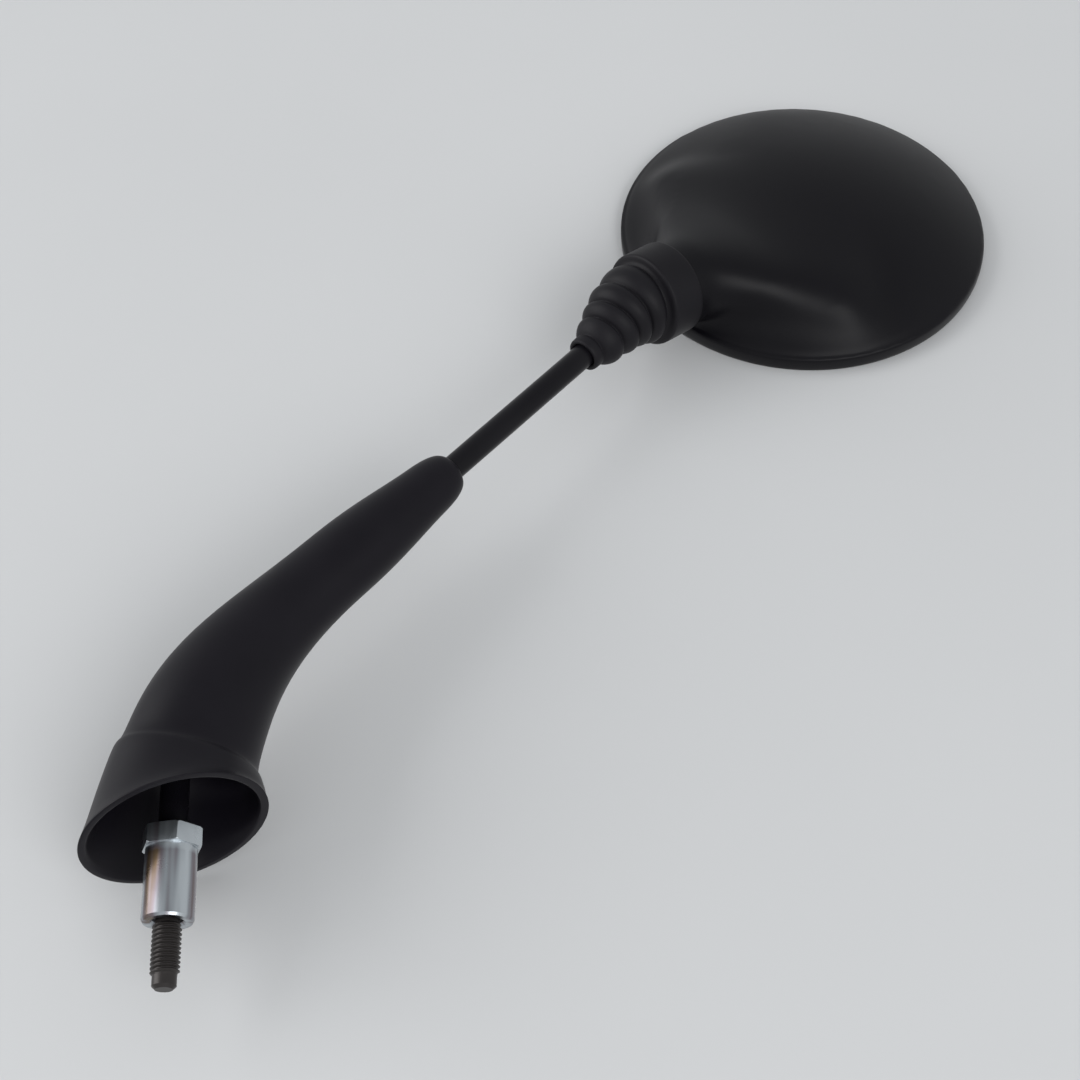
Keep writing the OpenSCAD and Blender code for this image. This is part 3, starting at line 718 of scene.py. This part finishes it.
thread_mesh = bmesh.new()
tooth = [thread_mesh.verts.new((r, 0, thread_low - PITCH + share * PITCH)) for r, share in TOOTH]
tooth += [thread_mesh.edges.new(pair) for pair in zip(tooth, tooth[1:])]
bmesh.ops.spin(
    thread_mesh,
    geom=tooth,
    axis=(0, 0, 1),
    dvec=(0, 0, PITCH / PER_TURN),
    angle=math.tau * turns,
    steps=turns * PER_TURN,
    use_duplicate=False,
)
bmesh.ops.remove_doubles(thread_mesh, verts=thread_mesh.verts, dist=STEP_MERGE)
print(turns, "turns of", PITCH / MM, "mm")

# %% [markdown]
# ## Where the thread runs out
# A cut thread fades at both ends. Near them no point may stand further out than a cone allows, so
# the crests sink below the root, into the core, and no tooth ends in a wall.

# %% Thread
RUN_OUT_R, TUCK = ROOT_R * 0.97, 0.2 * MM

for vert in thread_mesh.verts:
    inwards = min(vert.co.z - thread_low, thread_high - vert.co.z)
    reach = max(RUN_OUT_R, min(CREST_R, RUN_OUT_R + inwards))
    out = math.hypot(vert.co.x, vert.co.y)
    if out > reach:
        vert.co.x *= reach / out
        vert.co.y *= reach / out
    vert.co.z = min(max(vert.co.z, thread_low - TUCK), thread_high)
bmesh.ops.recalc_face_normals(thread_mesh, faces=thread_mesh.faces)
thread = as_piece(thread_mesh, "stud_thread", thread_steel, "stem", sharp=25)

# %% [markdown]
# ## The stud's core and point
# A plain point below the thread helps to start it in its boss. It is a lathe shape: half a
# profile, spun a full turn, with its last ring merged into the first.

# %% Core and point
POINT_R, POINT_CHAMFER, CORE_R = 3.3 * MM, 0.9 * MM, ROOT_R * 0.98
CORE = (
    (0, -STUD_LEN),
    (POINT_R - POINT_CHAMFER, -STUD_LEN),
    (POINT_R, POINT_CHAMFER - STUD_LEN),
    (POINT_R, thread_low - 0.3 * MM),
    (CORE_R, thread_low),
    (CORE_R, GROOVE_TOP),
    (0, GROOVE_TOP),
)

core_mesh = bmesh.new()
line = [core_mesh.verts.new((r, 0, z)) for r, z in CORE]
line += [core_mesh.edges.new(pair) for pair in zip(line, line[1:])]
bmesh.ops.spin(core_mesh, geom=line, axis=(0, 0, 1), angle=math.tau, steps=48, use_merge=True)
bmesh.ops.remove_doubles(core_mesh, verts=core_mesh.verts, dist=0.001 * MM)
bmesh.ops.recalc_face_normals(core_mesh, faces=core_mesh.faces)
core = as_piece(core_mesh, "stud_point", thread_steel, "stem", sharp=25)

# %% [markdown]
# ## The lock nut
# Its hexagon and sleeve are one turned piece. The CAD copy has the right shape, so a fine bevel
# only breaks each edge, because a real edge always catches a thin line of light. A nut stops
# wherever it is tight, and here one corner faces the lens: the copy is turned about the stud.

# %% Lock nut
NUT_TURN, EDGE_BREAK, STEEP = math.radians(28), 0.12 * MM, math.radians(28)

nut_mesh = merged_copy("lock_nut")
bmesh.ops.rotate(nut_mesh, verts=nut_mesh.verts, matrix=Matrix.Rotation(NUT_TURN, 3, "Z"))
nut = as_piece(nut_mesh, "zinc_lock_nut", zinc, "nut", sharp=25)
edge_break = nut.modifiers.new("edge_break", "BEVEL")
edge_break.width = EDGE_BREAK
edge_break.segments = 2
edge_break.limit_method = "ANGLE"
edge_break.angle_limit = STEEP
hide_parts("lock_nut")

# %% [markdown]
# ## The floor
# The mirror lies on a pale board, back up. The board isn't level in the CAD frame, because the
# stud is upright there, so its plane is placed through the head's rim.

# %% Floor
FLOOR_HALF = 4
floor_up = Vector((0.1828, 0.9756, 0.1218)).normalized()
floor_at = Vector((-0.11034, -0.02075, 0.13497))
floor_right = (right - right.dot(floor_up) * floor_up).normalized()
floor_away = floor_up.cross(floor_right)
floor_frame = Matrix((floor_right, floor_away, floor_up)).transposed().to_4x4()
floor_frame.translation = floor_at

floor_mesh = bmesh.new()
bmesh.ops.create_grid(floor_mesh, x_segments=1, y_segments=1, size=FLOOR_HALF)
floor_data = bpy.data.meshes.new("floor")
floor_mesh.to_mesh(floor_data)
floor_mesh.free()
floor_data.transform(floor_frame)
floor = bpy.data.objects.new("floor", floor_data)
bpy.context.scene.collection.objects.link(floor)
print("floor", 2 * FLOOR_HALF, "m wide, facing", tuple(floor_up))

# %% [markdown]
# ## The board's finish
# The board is smooth and nearly one colour, so its two tones lie close together and its skin is
# hardly uneven.

# %% Board
BOARD, BOARD_DARK, BOARD_PALE = (0.6, 0.607, 0.615), (0.585, 0.592, 0.6), (0.615, 0.622, 0.63)
SMEAR_SCALE, SKIN_SCALE, SKIN_HEIGHT, SKIN_STRENGTH = 2.2, 30, 0.4 * MM, 0.2

board, board_tree, board_shader = new_material("pale_board", BOARD, specular=0.3)
smear = object_noise(board_tree, SMEAR_SCALE, detail=4)
tint(board_tree, smear, BOARD_DARK, BOARD_PALE, board_shader.inputs["Base Color"])
skin = object_noise(board_tree, SKIN_SCALE, detail=3)
bumps(board_tree, board_shader, (skin, SKIN_HEIGHT, SKIN_STRENGTH))
floor.data.materials.append(board)
print("made", board.name)

# %% [markdown]
# ## What a ray meets
# The board's underside lets light and sight through, so that the glass can still be seen from the
# other side. The glass lies face down and would mirror only its own shadow, so a reflection sees
# the board in its plain colour. Both are a choice between two shaders, made ray by ray.

# %% Choose by ray


def choose(tree, switch, first, second):
    mix = tree.nodes.new("ShaderNodeMixShader")
    tree.links.new(switch, mix.inputs["Fac"])
    tree.links.new(first, mix.inputs[1])
    tree.links.new(second, mix.inputs[2])
    return mix.outputs["Shader"]


plain = board_tree.nodes.new("ShaderNodeEmission")
plain.inputs["Color"].default_value = (*BOARD, 1)
clear = board_tree.nodes.new("ShaderNodeBsdfTransparent")
path = board_tree.nodes.new("ShaderNodeLightPath")
side = board_tree.nodes.new("ShaderNodeNewGeometry")
top = choose(
    board_tree,
    path.outputs["Is Glossy Ray"],
    board_shader.outputs["BSDF"],
    plain.outputs["Emission"],
)
seen = choose(board_tree, side.outputs["Backfacing"], top, clear.outputs["BSDF"])
board_tree.links.new(seen, board_tree.nodes["Material Output"].inputs["Surface"])
print(board.name, "is clear from below and plain in reflections")

# %% [markdown]
# ## Lamps
# The photograph has a low window at the left and a softer light from the near right. The window
# brightens the left flank of the head, and the near light draws the long gleam beside its neck.
# Each lamp's place is given on the board, as right, away and up, and it aims at the mirror.

# %% Lamps


def lamp(name, place, size, power):
    data = bpy.data.lights.new(name, "AREA")
    data.shape = "SQUARE"
    data.size = size
    data.energy = power
    lit = bpy.data.objects.new(name, data)
    at = floor_frame @ Vector(place)
    aim = (floor_at - at).to_track_quat("-Z", "Y")
    lit.matrix_world = Matrix.Translation(at) @ aim.to_matrix().to_4x4()
    bpy.context.scene.collection.objects.link(lit)
    print(name, power, "W,", round((at - floor_at).length, 2), "m away")


lamp("window", (-2.7, 0.38, 1.25), size=2.6, power=62)
lamp("near_light", (1.2, -1.95, 1.83), size=1.7, power=36)

# %% [markdown]
# ## The room
# Pale walls fill the shadows. They are a little brighter at the horizon than overhead, so the
# world's strength follows how far a direction rises above the board.

# %% Room
HORIZON, ZENITH, ROOM_COLOUR = 0.71, 0.53, (0.965, 0.985, 1, 1)
world = bpy.data.worlds.new("room")
bpy.context.scene.world = world
world.use_nodes = True
sky_tree = world.node_tree
sky = sky_tree.nodes["Background"]
way = sky_tree.nodes.new("ShaderNodeTexCoord")
rise = sky_tree.nodes.new("ShaderNodeVectorMath")
rise.operation = "DOT_PRODUCT"
rise.inputs[1].default_value = floor_up
fade = sky_tree.nodes.new("ShaderNodeMapRange")
fade.inputs["To Min"].default_value = HORIZON
fade.inputs["To Max"].default_value = ZENITH
sky_tree.links.new(way.outputs["Generated"], rise.inputs[0])
sky_tree.links.new(rise.outputs["Value"], fade.inputs["Value"])
sky_tree.links.new(fade.outputs["Result"], sky.inputs["Strength"])
sky.inputs["Color"].default_value = ROOM_COLOUR
bpy.context.scene.view_settings.view_transform = "Standard"
print("room", HORIZON, "at the horizon,", ZENITH, "overhead")
